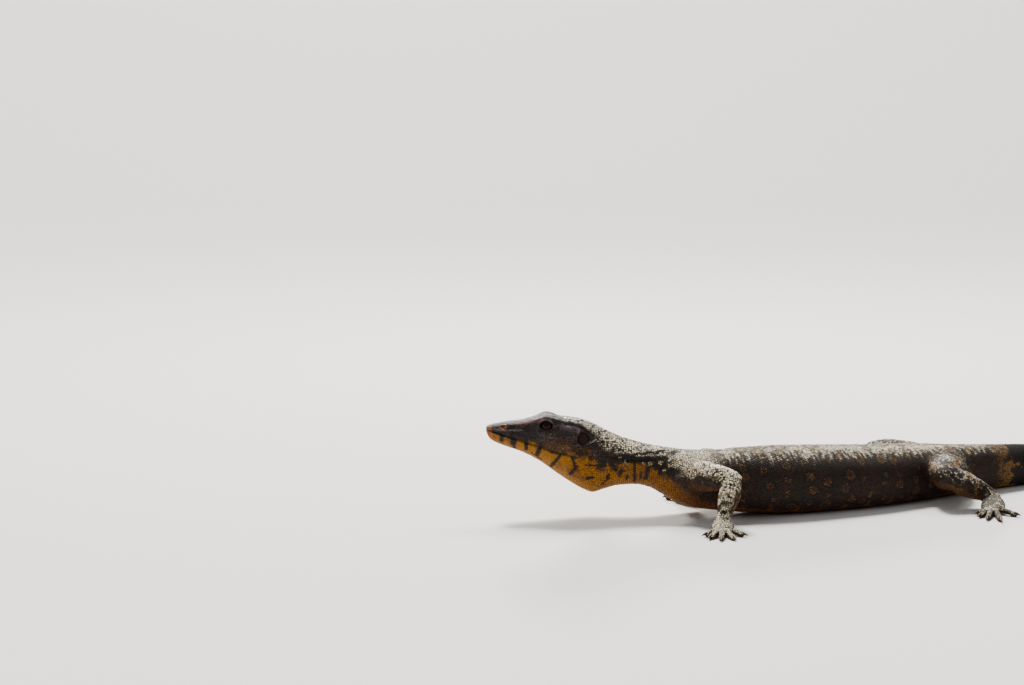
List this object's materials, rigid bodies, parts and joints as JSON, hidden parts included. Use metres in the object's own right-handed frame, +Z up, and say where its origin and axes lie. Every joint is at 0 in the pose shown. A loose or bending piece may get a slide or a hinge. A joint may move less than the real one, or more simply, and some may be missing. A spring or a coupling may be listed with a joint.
{
  "type": "water monitor lizard model",
  "caption": "Life-size water monitor lizard, neck and head held up in front on its forelegs, belly and long tail on the floor.",
  "frame": {"origin": "middle of the whole model's box in plan, at the floor it lies on", "axes": "-X the way the head looks, +Y the animal's right side, +Z up"},
  "size_m": [0.9476, 0.28, 0.0752],
  "materials": {
    "skin": "small dry beaded scales",
    "eye": "wet and clear",
    "eardrum": "thin smooth skin"
  },
  "bodies": {
    "root": {"head": "skin", "neck": "skin", "torso": "skin", "tail_base": "skin", "tail_front": "skin", "tail_middle": "skin", "tail_end": "skin", "upper_arm_left": "skin", "forearm_left": "skin", "hand_left": "skin", "upper_arm_right": "skin", "forearm_right": "skin", "hand_right": "skin", "thigh_left": "skin", "shank_left": "skin", "foot_left": "skin", "thigh_right": "skin", "shank_right": "skin", "foot_right": "skin", "eye_left": "eye", "eye_right": "eye", "eardrum_left": "eardrum", "eardrum_right": "eardrum"}
  },
  "joints": []
}
